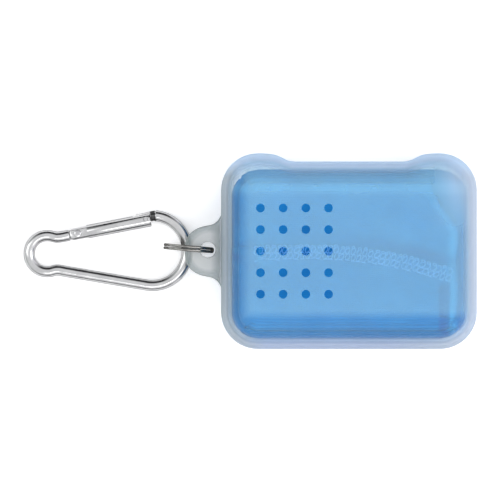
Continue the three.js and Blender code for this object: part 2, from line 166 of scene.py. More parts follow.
def softened(obj, width):
    """Breaks the sharp edges, as tumbling or moulding does."""
    edge = obj.modifiers.new("edges", "BEVEL")
    edge.width = width * MM
    edge.segments = 2
    edge.limit_method = "ANGLE"
    edge.angle_limit = math.radians(30)
    return smoothed(applied(obj))


def loft(name, rings):
    """A closed skin through rings that have the same number of points."""
    count = len(rings[0])
    verts = [point for ring in rings for point in ring]
    faces = []
    for here in range(0, len(verts) - count, count):
        for j in range(count):
            k = (j + 1) % count
            faces.append((here + j, here + k, here + count + k, here + count + j))
    faces.append(tuple(reversed(range(count))))
    faces.append(tuple(range(len(verts) - count, len(verts))))
    return outward(new_object(name, verts, faces))


def turn(start, end, steps):
    """The cosine and sine of each angle from start to end, with both ends."""
    angles = [start + (end - start) * i / steps for i in range(steps + 1)]
    return [(math.cos(angle), math.sin(angle)) for angle in angles]


QUARTER, WHOLE = math.pi / 2, 2 * math.pi


def lathe(name, profile, sides=48):
    """A turned piece about Z. The profile is (radius, height) from bottom to top."""
    circle = turn(0, WHOLE, sides)[:-1]
    return loft(name, [[(radius * c, radius * s, z) for c, s in circle] for radius, z in profile])


def block(name, low, high):
    (x0, y0, z0), (x1, y1, z1) = low, high
    return prism(name, [(x0, y0), (x1, y0), (x1, y1), (x0, y1)], z0, z1)


def prism(name, outline, low, high):
    """A flat outline, given as (x, y), drawn up from one height to another."""
    return loft(name, [[(x, y, z) for x, y in outline] for z in (low, high)])


ALONG_X = Matrix.Rotation(math.radians(90), 4, "Y")


def rod_x(name, radius, start, end, sides=48):
    return placed(lathe(name, [(radius, start), (radius, end)], sides), ALONG_X)


# %% Helpers for materials
def node(tree, kind, inputs=None, **settings):
    """Adds a node. Each input is a number, a colour or another node's output."""
    made = tree.nodes.new(kind)
    for key, value in settings.items():
        setattr(made, key, value)
    for key, value in (inputs or {}).items():
        if isinstance(value, bpy.types.NodeSocket):
            tree.links.new(value, made.inputs[key])
        else:
            made.inputs[key].default_value = value
    return made


def new_material(name):
    """An empty material, its node tree, and the spot on the piece that patterns are read at."""
    material = bpy.data.materials.new(name)
    material.use_nodes = True
    tree = material.node_tree
    tree.nodes.clear()
    return material, tree, node(tree, "ShaderNodeTexCoord").outputs["Object"]


def shown(material, shader):
    """Makes the shader the material's surface."""
    node(material.node_tree, "ShaderNodeOutputMaterial", {"Surface": shader.outputs[0]})
    return material


def noise_at(tree, vector, scale, detail=3.0, roughness=0.55):
    inputs = {"Vector": vector, "Scale": scale, "Detail": detail, "Roughness": roughness}
    return node(tree, "ShaderNodeTexNoise", inputs).outputs["Fac"]


def spread(tree, value, low, high, to_low=0.0, to_high=1.0):
    """Stretches a value from one range to another."""
    inputs = {0: value, 1: low, 2: high, 3: to_low, 4: to_high}
    return node(tree, "ShaderNodeMapRange", inputs).outputs[0]


def spread_mm(tree, place, low, high, to_low=0.0, to_high=1.0):
    """The same for a coordinate, with its range in millimetres."""
    return spread(tree, place, low * MM, high * MM, to_low, to_high)


def maths(tree, operation, a, b=0.0):
    return node(tree, "ShaderNodeMath", {0: a, 1: b}, operation=operation).outputs[0]


def times(tree, a, b):
    return maths(tree, "MULTIPLY", a, b)


def plus(tree, a, b):
    return maths(tree, "ADD", a, b)


def mixed(tree, share, first, second):
    """A colour between two colours."""
    ends = [(*colour, 1) if isinstance(colour, tuple) else colour for colour in (first, second)]
    inputs = {0: share, 6: ends[0], 7: ends[1]}
    return node(tree, "ShaderNodeMix", inputs, data_type="RGBA").outputs[2]


def bumped(tree, height, strength, distance):
    inputs = {"Height": height, "Strength": strength, "Distance": distance}
    return node(tree, "ShaderNodeBump", inputs).outputs[0]


# %% The tent
TENT_TILT = math.radians(14)
world = bpy.data.worlds.new("tent")
bpy.context.scene.world = world
world.use_nodes = True
tent = world.node_tree
looking = node(tent, "ShaderNodeTexCoord").outputs["Generated"]
way = node(tent, "ShaderNodeSeparateXYZ", {0: looking})
tilted = times(tent, way.outputs["Y"], math.sin(TENT_TILT))
up = maths(tent, "SUBTRACT", times(tent, way.outputs["Z"], math.cos(TENT_TILT)), tilted)
to_right = spread(tent, way.outputs["X"], -0.7, 0.7)
sides = mixed(tent, to_right, (0.78, 0.82, 0.82), (1.30, 1.28, 1.36))
roof = mixed(tent, to_right, (1.08, 1.09, 1.10), (1.22, 1.22, 1.25))
at_side = spread(tent, maths(tent, "ABSOLUTE", way.outputs["X"]), 0.35, 0.75)
low = mixed(tent, at_side, (0.05, 0.05, 0.055), sides)
whole = mixed(tent, spread(tent, up, 0.48, 0.60), low, roof)
tent.links.new(whole, tent.nodes["Background"].inputs["Color"])
tent.nodes["Background"].inputs["Strength"].default_value = 1.0


# %% Floor
def floor_material():
    material, tree, spot = new_material("pale_floor")
    shade = spread(tree, noise_at(tree, spot, 2.0), 0.3, 0.7)
    return shown(material, node(tree, "ShaderNodeBsdfPrincipled", {
        "Base Color": mixed(tree, shade, (0.90, 0.90, 0.90), (0.93, 0.93, 0.93)),
        "Roughness": 0.9, "Specular IOR Level": 0.1,
        "Emission Color": (1, 1, 1, 1), "Emission Strength": 0.33,
    }))


HALF_FLOOR = 2.5
square = ((-1, -1, 0), (1, -1, 0), (1, 1, 0), (-1, 1, 0))
floor = new_object("floor", square, [(0, 1, 2, 3)], scale=HALF_FLOOR)
floor.data.materials.append(floor_material())

# %% [markdown]
# ## Where the pieces are
# The CAD boxes give each place. The case's own x starts at its tab side, and its y at its middle.

# %% Places
CASE_LENGTH, CASE_WIDTH, CASE_DEPTH = 90.4, 69.2, 27.0
WALL = 1.8


def in_mm(box):
    return [tuple(c / MM for c in corner) for corner in box]


case_high = in_mm(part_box("silicone_case"))[1]
CASE_X = case_high[0] - CASE_LENGTH
CASE_MIDDLE_X = CASE_X + CASE_LENGTH / 2
TAB_Z = CASE_DEPTH / 2
print("case from x", round(CASE_X, 2), "to", round(case_high[0], 2))

# %% [markdown]
# ## The silicone case
# The real case is one moulding: a box with big soft edges, a tab at one end, a mouth with rounded lips
# and a grid of vents. It could be a cube with a bevel, but the mouth's edge dips between two shoulders,
# and a bevel can't follow that. So an outline with the dip is drawn once, and rings of it are lofted
# round the quarter circle of the edge. A second, smaller skin is cut out of the first to leave a real
# wall. Vents, mouth and tab hole are cut with tools that flare at both ends, which leaves round lips.

# %% The case's outline
CORNER = 13.0
EDGE = 10.5
DIP = 2.3
RAMP = 13.0
SHOULDER_FLAT = 0.6


def arc_points(cx, cy, radius, start, end, steps):
    """Points on an arc with their outward directions."""
    return [(cx + radius * c, cy + radius * s, c, s) for c, s in turn(start, end, steps)]


def ramp_points(x0, y0, x1, y1, steps):
    """A smooth ramp between two levels, walked towards -X, with its outward directions."""
    found = []
    for i in range(steps + 1):
        t = i / steps
        blend = 3 * t * (1 - t)
        x = (1 - t) ** 3 * x0 + blend * (x0 + x1) / 2 + t**3 * x1
        y = y0 + (y1 - y0) * t * t * (3 - 2 * t)
        dx = (x1 - x0) * (1.5 * ((1 - t) ** 2 + t * t))
        dy = (y1 - y0) * 6 * t * (1 - t)
        size = math.hypot(dx, dy)
        found.append((x, y, dy / size, -dx / size))
    return found


def straight(x0, y0, x1, y1, steps):
    """Points between the two ends, which aren't repeated."""
    size = math.hypot(x1 - x0, y1 - y0)
    out = ((y1 - y0) / size, (x0 - x1) / size)
    return [
        (x0 + (x1 - x0) * i / steps, y0 + (y1 - y0) * i / steps, *out)
        for i in range(1, steps)
    ]


def case_outline():
    """The outline of the case's flat faces, which lies one edge radius inside its sides."""
    left, right = CASE_X + EDGE, CASE_X + CASE_LENGTH - EDGE
    low, high = EDGE - CASE_WIDTH / 2, CASE_WIDTH / 2 - EDGE
    r = CORNER - EDGE
    ramp_far = CASE_LENGTH / 2 - CORNER - SHOULDER_FLAT
    ramp_near = ramp_far - RAMP
    mid = CASE_MIDDLE_X
    points = arc_points(right - r, low + r, r, -QUARTER, 0, 12)
    points += straight(right, low + r, right, high - r, 16)
    points += arc_points(right - r, high - r, r, 0, QUARTER, 12)
    points += ramp_points(mid + ramp_far, high, mid + ramp_near, high - DIP, 18)
    points += straight(mid + ramp_near, high - DIP, mid - ramp_near, high - DIP, 16)
    points += ramp_points(mid - ramp_near, high - DIP, mid - ramp_far, high, 18)
    points += arc_points(left + r, high - r, r, QUARTER, 2 * QUARTER, 12)
    points += straight(left, high - r, left, low + r, 16)
    points += arc_points(left + r, low + r, r, 2 * QUARTER, 3 * QUARTER, 12)
    points += straight(left + r, low, right - r, low, 24)
    return points


def case_skin(name, inset):
    """The case's skin, drawn in by inset. Its edge is a quarter circle of EDGE less inset."""
    radius = EDGE - inset
    levels = [(radius * s, inset + radius * (1 - c)) for c, s in turn(0, QUARTER, 12)]
    side = [(radius, EDGE + (CASE_DEPTH - 2 * EDGE) * i / 3) for i in (1, 2)]
    levels = levels + side + [(out, CASE_DEPTH - z) for out, z in reversed(levels)]
    outline = case_outline()
    rings = [[(x + out * nx, y + out * ny, z) for x, y, nx, ny in outline] for out, z in levels]
    return loft(name, rings)


case = case_skin("travel_case", 0)
print("case skin:", len(case.data.vertices), "points")

# %% The tab
TAB_REACH, TAB_THICK, TAB_ROUND = 12.9, 2.6, 1.15
HOLE_X, HOLE_Y, HOLE_RADIUS = CASE_X - 4.7, 0.5, 2.7


def bezier(p0, p1, p2, p3, steps):
    """Points of a curve from p0, which isn't repeated, to p3."""
    found = []
    for i in range(1, steps + 1):
        t = i / steps
        a, b, c, d = (1 - t) ** 3, 3 * t * (1 - t) ** 2, 3 * t * t * (1 - t), t**3
        found.append(tuple(a * p + b * q + c * r + d * s for p, q, r, s in zip(p0, p1, p2, p3)))
    return found


def tab_outline():
    """The tab's upper half from inside the wall to its nose, then the lower half."""
    nose, inside = CASE_X - TAB_REACH, CASE_X + 0.3
    flare, neck, side = (inside, 14.4), (CASE_X - 3.6, 9.3), (CASE_X - 7.6, 8.4)
    upper = [(CASE_X + 5, 17.6), (inside, 17.6), flare]
    upper += bezier(flare, (CASE_X, 12.4), (CASE_X - 0.8, 10.3), neck, 10)
    upper += bezier(neck, (CASE_X - 5.0, 9.0), (CASE_X - 6.2, 8.9), side, 5)
    upper += bezier(side, (CASE_X - 10.8, 7.2), (nose, 4.9), (nose, 0), 18)
    return upper + [(x, -y) for x, y in reversed(upper[:-1])]


def drawn_in(outline, distance):
    """The closed outline with every side moved inwards by the same distance."""
    count = len(outline)
    found = []
    for i, (x, y) in enumerate(outline):
        before, after = Vector(outline[i - 1]), Vector(outline[(i + 1) % count])
        here = Vector((x, y))
        first, second = (here - before).normalized(), (after - here).normalized()
        share = distance / (1 + first.dot(second))
        found.append((x - (first.y + second.y) * share, y + (first.x + second.x) * share))
    return found


def tab_piece():
    """A thick plate with a round rim, a shallow groove inside the rim, and a raised face."""
    half = TAB_THICK / 2
    flat = half - TAB_ROUND
    profile = [(TAB_ROUND * (1 - c), flat + TAB_ROUND * s) for c, s in turn(0, QUARTER, 8)]
    profile += [(1.55, half - 0.04), (1.95, half - 0.2), (2.35, half - 0.16), (2.9, half + 0.02)]
    outline = tab_outline()
    levels = [(inset, -z) for inset, z in reversed(profile)] + profile
    rings = [[(x, y, TAB_Z + z) for x, y in drawn_in(outline, inset)] for inset, z in levels]
    return loft("tab", rings)


def flared(name, radius, low, high, rounding, steps=6):
    """A round cutter that opens at both faces of a wall, for a hole with round lips."""
    wide = radius + rounding
    lip = [(radius + rounding * (1 - s), rounding * (1 - c)) for c, s in turn(0, QUARTER, steps)]
    profile = [(wide, low - 1)] + [(r, low + depth) for r, depth in lip]
    profile += [(r, high - depth) for r, depth in reversed(lip)] + [(wide, high + 1)]
    return lathe(name, profile, 36)


carve(case, tab_piece(), "UNION")
carve(case, case_skin("cavity", WALL))
hole = flared("tab_hole", HOLE_RADIUS, TAB_Z - TAB_THICK / 2, TAB_Z + TAB_THICK / 2, 0.55)
carve(case, placed(hole, shift(HOLE_X, HOLE_Y)))
print("case with tab:", len(case.data.polygons), "faces")

# %% [markdown]
# ## The vents
# Four columns of five punched holes in the front face. They could be twenty cylinders made in a loop.
# Geometry Nodes do it in one small tree: a grid gives the points, one flared cutter is put on each,
# and the whole set is cut out of the wall at once.

# %% The vent cutter
VENT_RADIUS = 1.55
VENT_COLUMNS, VENT_ROWS = 4, 5
VENT_PITCH = (8.0, 7.6)
VENT_FIRST = CASE_X + 13.9


def new_tree(name, sizes):
    """A geometry tree with a geometry input and output and the named number inputs."""
    tree = bpy.data.node_groups.new(name, "GeometryNodeTree")
    tree.interface.new_socket("Geometry", in_out="INPUT", socket_type="NodeSocketGeometry")
    for label, kind in sizes:
        tree.interface.new_socket(label, in_out="INPUT", socket_type=kind)
    tree.interface.new_socket("Geometry", in_out="OUTPUT", socket_type="NodeSocketGeometry")
    return tree, tree.nodes.new("NodeGroupInput"), tree.nodes.new("NodeGroupOutput")


def run_tree(obj, tree, values):
    """Puts the tree on the object, sets its inputs by their identifiers, and keeps the result."""
    modifier = obj.modifiers.new(tree.name, "NODES")
    modifier.node_group = tree
    for item in tree.interface.items_tree:
        if item.in_out == "INPUT" and item.name in values:
            modifier[item.identifier] = values[item.name]
    return applied(obj)


def closed_tree(tree, outs, geometry, material, soft=False):
    """Makes the copies real, gives them their material and ends the tree."""
    last = node(tree, "GeometryNodeRealizeInstances", {"Geometry": geometry})
    if soft:
        last = node(tree, "GeometryNodeSetShadeSmooth", {"Geometry": last.outputs[0]})
    dressed = {"Geometry": last.outputs[0], "Material": material}
    last = node(tree, "GeometryNodeSetMaterial", dressed)
    tree.links.new(last.outputs[0], outs.inputs[0])
    return tree


def vent_tree(cutter, material):
    pitches = ("Pitch X", "Pitch Y")
    tree, ins, outs = new_tree("vent grid", [(label, "NodeSocketFloat") for label in pitches])
    spans = [
        times(tree, ins.outputs[label], count - 1.0)
        for label, count in zip(pitches, (VENT_COLUMNS, VENT_ROWS))
    ]
    grid = node(tree, "GeometryNodeMeshGrid", {
        "Size X": spans[0], "Size Y": spans[1], "Vertices X": VENT_COLUMNS, "Vertices Y": VENT_ROWS,
    })
    tool = node(tree, "GeometryNodeObjectInfo", {"Object": cutter})
    put = node(tree, "GeometryNodeInstanceOnPoints", {
        "Points": grid.outputs["Mesh"], "Instance": tool.outputs["Geometry"],
    })
    return closed_tree(tree, outs, put.outputs[0], material)


# %% Frosted silicone
BODY_HAZE = 0.262  # how much of the light the front face stops
CLEARER, BAND_HAZE, CORNER_HAZE, TAB_HAZE = 0.16, 0.03, 0.16, 0.42
TAB_LENGTH_SPAN, TAB_HALF_WIDTH = 8.9, 8.6


def silicone_material():
    """Frosted white silicone. Where it is seen edge-on or is thick, less shows through it."""
    material, tree, spot = new_material("frosted_silicone")
    parts = node(tree, "ShaderNodeSeparateXYZ", {0: spot})
    x, y, z = (parts.outputs[axis] for axis in "XYZ")
    from_middle = maths(tree, "ABSOLUTE", maths(tree, "SUBTRACT", z, TAB_Z * MM))
    side = spread_mm(tree, from_middle, 12.0, 9.6)
    is_tab = spread_mm(tree, x, CASE_X + 0.8, CASE_X - 0.6)
    # Painted shade at the tab's root, where it meets the case.
    root_shade = spread_mm(tree, x, CASE_X - 3.8, CASE_X - 0.4)

    # The haze isn't even over the front. Its clearer bands and hazier parts are set by place: the
    # clearer strips at the left, the bottom and the top left darken the front as painted shade, and the
    # hazier band near the top and the hazier corner at the top right lighten it as painted light.
    clear_left = spread_mm(tree, x, 0.3, -3.4)
    clear_low = spread_mm(tree, y, -21.0, -24.0)
    clear_high = times(tree, spread_mm(tree, y, 24.6, 26.2), spread_mm(tree, x, 5, 30, 0.35, -0.35))
    clear_part = maths(tree, "MAXIMUM", maths(tree, "MAXIMUM", clear_left, clear_low), clear_high)
    top_band_haze_light = times(tree, spread_mm(tree, y, 19.0, 21.0), spread_mm(tree, y, 24.6, 23.2))
    corner_haze_light = times(tree, spread_mm(tree, x, 64, 72), spread_mm(tree, y, 6, 26))
    cloud = noise_at(tree, spot, 90.0)
    slant = node(tree, "ShaderNodeLayerWeight", {"Blend": 0.5}).outputs["Facing"]
    skimming = spread(tree, slant, 0.21, 0.62, 0.0, 0.80)
    skimming = times(tree, skimming, spread(tree, side, 0.0, 0.6, 0.22))
    body = maths(tree, "SUBTRACT", BODY_HAZE, times(tree, clear_part, CLEARER))
    for more in (
        times(tree, top_band_haze_light, BAND_HAZE),
        times(tree, corner_haze_light, CORNER_HAZE),
        skimming,
        times(tree, is_tab, TAB_HAZE),
        spread(tree, cloud, 0.3, 0.7, -0.01, 0.01),
    ):
        body = plus(tree, body, more)

    # Painted light in the silicone's colour: the rim is painted lighter and bluer towards the right and
    # lightest along the mouth, and the front is painted cyan as blue light sent back from the towel
    # inside, paler at the top right corner.
    rim = mixed(tree, spread_mm(tree, x, -6, 6), (0.46, 0.52, 0.55), (0.47, 0.56, 0.72))
    rim = mixed(tree, spread_mm(tree, x, 50, 72), rim, (0.53, 0.61, 0.70))
    rim = mixed(tree, spread_mm(tree, y, 26, 31), rim, (0.60, 0.76, 0.92))
    front = mixed(tree, times(tree, corner_haze_light, 0.8), (0.50, 0.88, 0.99), (0.70, 0.82, 0.92))
    # Painted light and shade on the tab: its middle is painted light as a painted highlight, its rounded
    # rim darker and its root darkest, as painted shade.
    across = maths(tree, "SUBTRACT", x, (CASE_X - 4) * MM)
    across_tab = maths(tree, "DIVIDE", across, TAB_LENGTH_SPAN * MM)
    along_tab = maths(tree, "DIVIDE", y, TAB_HALF_WIDTH * MM)
    squares = [
        maths(tree, "POWER", maths(tree, "ABSOLUTE", part), 2.0) for part in (across_tab, along_tab)
    ]
    from_hole = maths(tree, "SQRT", plus(tree, *squares))
    tab = mixed(tree, spread(tree, from_hole, 0.72, 0.90), (0.60, 0.615, 0.60), (0.37, 0.41, 0.40))
    tab = mixed(tree, root_shade, tab, (0.25, 0.30, 0.29))
    colour = mixed(tree, is_tab, mixed(tree, side, front, rim), tab)

    bump = bumped(tree, noise_at(tree, spot, 2600.0, 2.0), 0.08, 0.0001)
    skin = node(tree, "ShaderNodeBsdfPrincipled", {
        "Base Color": colour, "Roughness": spread(tree, cloud, 0.3, 0.7, 0.40, 0.48),
        "Normal": bump, "IOR": 1.41, "Specular IOR Level": 0.3,
    })
    glow = node(tree, "ShaderNodeBsdfTranslucent", {"Color": colour, "Normal": bump})
    milk = node(tree, "ShaderNodeMixShader", {0: 0.4, 1: skin.outputs[0], 2: glow.outputs[0]})
    clear = node(tree, "ShaderNodeBsdfTransparent", {"Color": (0.97, 0.98, 1.0, 1)})
    both = {0: body, 1: clear.outputs[0], 2: milk.outputs[0]}
    return shown(material, node(tree, "ShaderNodeMixShader", both))


silicone = silicone_material()
cutter = flared("vent_cutter", VENT_RADIUS, CASE_DEPTH - WALL, CASE_DEPTH, 0.3)
grid_middle = VENT_FIRST + VENT_PITCH[0] * (VENT_COLUMNS - 1) / 2
vents = new_object("vents", [(0, 0, 0)], [])
pitches = {"Pitch X": VENT_PITCH[0] * MM, "Pitch Y": VENT_PITCH[1] * MM}
run_tree(vents, vent_tree(cutter, silicone), pitches)
bpy.data.objects.remove(cutter)
placed(vents, shift(grid_middle, 0))
print("vent cutters:", len(vents.data.polygons), "faces")
carve(case, vents)

# %% The mouth
MOUTH_INSET, MOUTH_GAP = 19.2, 13.0
LIP = 0.8


def mouth_cutter():
    """A long slot with round ends. It opens towards both faces of the wall."""
    radius = MOUTH_GAP / 2
    half = CASE_LENGTH / 2 - MOUTH_INSET - radius
    lip_y = CASE_WIDTH / 2 - DIP
    middle = lip_y - WALL / 2
    levels = [(lip_y - WALL - 4, LIP)]
    for i in range(13):
        across = (i / 12 * 2 - 1) * LIP
        levels.append((middle + across, LIP - math.sqrt(max(LIP**2 - across**2, 0))))
    levels.append((lip_y + 5, LIP))
    rings = []
    for y, grow in levels:
        ring = arc_points(CASE_MIDDLE_X + half, TAB_Z, radius + grow, -QUARTER, QUARTER, 20)
        ring += arc_points(CASE_MIDDLE_X - half, TAB_Z, radius + grow, QUARTER, 3 * QUARTER, 20)
        rings.append([(x, y, z) for x, z, _, _ in ring])
    return loft("mouth", rings)


carve(case, mouth_cutter())
case.data.materials.clear()
case.data.materials.append(silicone)
smoothed(case, 40)
even = case.modifiers.new("even", "WEIGHTED_NORMAL")
even.keep_sharp = True
even.weight = 100
applied(case)
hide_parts("silicone_case")
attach(case, "case")
print("case:", len(case.data.polygons), "faces")

# %% [markdown]
# ## The towel
# The real towel is one knitted cloth of 0.30 x 0.80 m, overlocked round its edge. It is pleated six
# times across its width, then folded in ten along its length, and the bundle is pushed into the case.
# A block with a fabric picture would look like a block, because the mouth and the frosted wall show
# the folds. A simulation of sixty layers in so little room would be slow and hard to repeat. So every
# point of the flat cloth is sent to its folded place by a rule: first its pleat, then its panel, then
# the round corners of the case and the dents and ridges that the hands left.

# %% The fold's sizes
PANELS, PLIES = 10, 6
towel_low, towel_high = in_mm(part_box("towel"))
BUNDLE_BOTTOM, BUNDLE_TOP = towel_low[2] + 0.1, towel_high[2] - 0.2
PANEL_HEIGHT = (BUNDLE_TOP - BUNDLE_BOTTOM) / PANELS
BUNDLE_EDGE = 8.6
BUNDLE_CORNER = 1.5
HEM_LEFT, HEM_RIGHT = towel_low[0] + 4.0, towel_high[0] - 7.1
rng = np.random.default_rng(7)


def smooth(value, start, end):
    t = np.clip((value - start) / (end - start), 0, 1)
    return t * t * (3 - 2 * t)


def hump(value, middle, width):
    return np.exp(-(((value - middle) / width) ** 2))


def inset_at(z):
    """How far the bundle's round edge draws the cloth in at this height."""
    depth = np.clip(np.minimum(z - BUNDLE_BOTTOM, BUNDLE_TOP - z) + 0.35, 0, BUNDLE_EDGE)
    return BUNDLE_EDGE - np.sqrt(BUNDLE_EDGE**2 - (BUNDLE_EDGE - depth) ** 2)


def hem_y(x):
    """The cloth's long free edge, which slants across the front of the bundle."""
    s = np.clip((x - HEM_LEFT) / (HEM_RIGHT - HEM_LEFT), 0, 1)
    ripple = 0.25 * np.sin(x / 2.9) * (1 - smooth(x, 4, 14))
    return 1.5 + 1.2 * np.sin(np.pi * s) - 7.0 * s**2.8 + ripple


def noise_2d(x, y, scale, seed):
    flat = [noise.noise((a / scale, b / scale, seed)) for a, b in zip(x.ravel(), y.ravel())]
    return np.array(flat).reshape(x.shape)


# %% Where each point of the cloth goes
def along_steps():
    """For each column of points: its panel, its share of the panel, and its share of the turn."""
    columns = []
    for panel in range(PANELS - 1, -1, -1):
        steps = 130 if panel == PANELS - 1 else 20
        columns += [(panel, i / steps, 0.0) for i in range(steps + 1)]
        if panel:
            columns += [(panel, 1.0, i / 9) for i in range(1, 9)]
    return np.array(columns)


def across_steps():
    """For each row of points: its ply, its share of the ply, and its share of the turn."""
    rows = []
    for ply in range(PLIES):
        steps = (40, 56, 24, 24, 24, 14)[ply]
        rows += [(ply, i / steps, 0.0) for i in range(steps + 1)]
        if ply < PLIES - 1:
            rows += [(ply, 1.0, i / 4) for i in range(1, 4)]
    return np.array(rows)


def ply_height(ply, y):
    """The height of a ply in its panel, as a share, for the panel that lies hem up."""
    lower = (PLIES - 0.5 - ply) / PLIES
    upper = np.clip((PLIES - 1.5 - ply) / (PLIES - 2), 0.02, 0.98)
    return upper + (lower - upper) * (1 - smooth(y, -1.5, 4.5))


columns, rows = along_steps(), across_steps()
panel, along, turn_x = (columns[:, k][:, None] for k in range(3))
ply, across, turn_y = (rows[:, k][None, :] for k in range(3))
top_panel = panel == PANELS - 1
hem_up = (PANELS - 1 - panel) % 2 == 0

# The row's y before it is fitted between the walls: -1 at the lower fold and 1 at the upper one.
start = np.where(ply % 2 == 0, 1.0, -1.0)
nominal = start * (1 - 2 * across)
x_flat = towel_low[0] + 6 + (towel_high[0] - towel_low[0] - 12) * np.where(hem_up, 1 - along, along)
edge_y = np.where(top_panel, hem_y(x_flat), 1.2)
half_y = (towel_high[1] - towel_low[1]) / 2
middle_y = (towel_high[1] + towel_low[1]) / 2
mid_x = (towel_high[0] + towel_low[0]) / 2
guess_y = middle_y + nominal * (half_y - 4)
height = ply_height(ply, guess_y)
next_height = ply_height(np.minimum(ply + 1, PLIES - 1), guess_y)
arc = np.pi * turn_y
height = height + (next_height - height) * (1 - np.cos(arc)) / 2
share = np.where(hem_up, height, 1 - height)

# The turn from a panel to the one below it: the upper ply has the widest turn.
radius = share * PANEL_HEIGHT
base = BUNDLE_BOTTOM + panel * PANEL_HEIGHT
angle = np.pi * turn_x
z = np.where(turn_x > 0, base + radius * np.cos(angle), base + share * PANEL_HEIGHT)
bulge_x = np.where(turn_x > 0, radius * np.sin(angle), 0)
inset = inset_at(np.where(turn_x > 0, base, z))
panel_slack = rng.uniform(0, 0.9, PANELS)[panel.astype(int)]
ply_slack = rng.uniform(0, 0.8, (PANELS, PLIES))[panel.astype(int), ply.astype(int)]

low_y = towel_low[1] + inset + 0.3 + ply_slack
high_y = towel_high[1] - inset - 0.3 - ply_slack
y = np.where(start > 0, high_y + (low_y - high_y) * across, low_y + (high_y - low_y) * across)
y = np.where(ply == 0, edge_y + (low_y - edge_y) * across, y)
y = np.where(ply == PLIES - 1, low_y + (edge_y - low_y) * across, y)
y = y + np.sin(arc) * 0.3 * np.where(ply % 2 == 0, -1, 1)

# The cloth's short free edge lies on the front, at the right: the flap's corner and the ply under it.
under_end = 73.2 - 9.5 * smooth(y, 6, 25) + 0.35 * np.sin(y / 3.1)
flap_end = 70.3 - 3.7 * (1 - smooth(y, -13.6, -10.2))
flap_end = under_end + (flap_end - under_end) * smooth(y, -24.9, -22.8)
left_x = towel_low[0] + inset + 1.7 + panel_slack
right_x = towel_high[0] - inset - 1.7 - panel_slack
free_end = np.where(ply == 0, flap_end, under_end - 0.15 * ply)
right_x = np.where(top_panel, free_end, right_x)
x = np.where(hem_up, right_x + (left_x - right_x) * along, left_x + (right_x - left_x) * along)
x = x + bulge_x * np.where(hem_up, -1, 1)

# The square corners are pushed round, as the case's corners push them.
half_x = (towel_high[0] - towel_low[0]) / 2 - inset
half_yz = half_y - inset
corner = BUNDLE_CORNER + BUNDLE_EDGE - inset
over_x = np.maximum(np.abs(x - mid_x) - (half_x - corner), 0)
over_y = np.maximum(np.abs(y - middle_y) - (half_yz - corner), 0)
reach = np.hypot(over_x, over_y)
pull = np.where(reach > 0, np.maximum(over_x, over_y) / np.maximum(reach, 1e-9), 1)
x = x + np.sign(x - mid_x) * over_x * (pull - 1)
y = y + np.sign(y - middle_y) * over_y * (pull - 1)
print("bundle points:", x.size)

# %% Dents and ridges on the front of the bundle
line = hem_y(x)
rise = 0.25 * hump(y, 21.8, 1.7) + 0.35 * hump(x, under_end - 2.6, 1.5) * smooth(x, 50, 60)
rise += -1.25 * smooth(x, 22, 66) * hump(y, line + 2.6, 2.6) * (1 - smooth(x, 70.5, 73))
rise += -0.35 * hump(y, line + 2.0, 2.2) * (1 - smooth(x, 22, 40))
broad = noise_2d(x, y, 22.0, 3.1) * 0.55 + noise_2d(x, y * 2.2, 11.0, 5.7) * 0.3
crumple = noise_2d(x * 1.3, y, 3.4, 9.2) * 0.7 * (1 - smooth(x, 3, 15)) * hump(y, -1, 7)
small = noise_2d(x, y * 1.7, 4.2, 1.4) * 0.13
rise += broad + crumple + small - 0.25
depth = np.maximum(BUNDLE_TOP - z, 0)
z = z + rise * np.exp(-depth / 5.5)
lift = (0.12 + 0.30 * smooth(x, 20, 66)) * hump(y, line, 2.4)
z = z + np.where(top_panel & (ply == 0), lift, 0)
z = np.minimum(z, towel_high[2] + 0.2)

# Painted light and shade on the front of the bundle: ridges and the top right past the cloth's end are
# painted pale as if lit, and hollows, the gap past the cloth's end, the strip above the hem and the
# flap's notch are painted deep as if in shade: 1 is a ridge, -1 a hollow.
past_end = x - under_end
light_and_shade = 0.75 * hump(y, 22.2, 1.5) + 0.9 * hump(past_end, -1.8, 1.4) * (1 - smooth(y, 14, 24))
light_and_shade += -0.9 * hump(past_end, 1.2, 0.8) * (1 - smooth(y, 4, 14))
light_and_shade += 0.35 * smooth(past_end, 0.3, 2.5) * smooth(y, 6, 14)
light_and_shade += -0.75 * smooth(x, 14, 62) * hump(y, line + 2.2, 1.9) * (1 - smooth(x, 70.5, 73))
light_and_shade += -1.0 * smooth(x, 66.2, 67.4) * (1 - smooth(x, 70.0, 71.2)) * (1 - smooth(y, -13, -10))
light_and_shade += 0.5 * broad + 1.2 * crumple + 1.0 * small
light_and_shade = np.clip(light_and_shade, -1, 1)


# %% The cloth's mesh
def cloth_lengths(points, axis):
    """How far each point is along the cloth, from its neighbours' distances, in metres."""
    steps = np.linalg.norm(np.diff(points, axis=axis), axis=-1)
    steps = np.concatenate([np.zeros_like(np.take(steps, [0], axis)), steps], axis)
    return np.cumsum(steps, axis=axis)


spots = np.stack([x, y, z], axis=-1)
count_s, count_t = x.shape
index = np.arange(count_s * count_t).reshape(count_s, count_t)
quads = np.stack([index[:-1, :-1], index[:-1, 1:], index[1:, 1:], index[1:, :-1]], axis=-1)
towel = new_object("folded_towel", spots.reshape(-1, 3), quads.reshape(-1, 4).tolist())
if towel.data.polygons[0].normal.z < 0:
    towel.data.flip_normals()
length_s = np.median(cloth_lengths(spots, 0), axis=1)
length_t = np.median(cloth_lengths(spots, 1), axis=0)
print("cloth laid out:", round(length_s[-1], 1), "x", round(length_t[-1], 1), "mm")
uv = towel.data.uv_layers.new(name="cloth")
corners = np.zeros(len(towel.data.loops), dtype=np.int32)
towel.data.loops.foreach_get("vertex_index", corners)
flat = np.stack([length_s[corners // count_t] * MM, length_t[corners % count_t] * MM], axis=-1)
uv.data.foreach_set("uv", flat.astype(np.float32).ravel())
towel.data.shade_smooth()
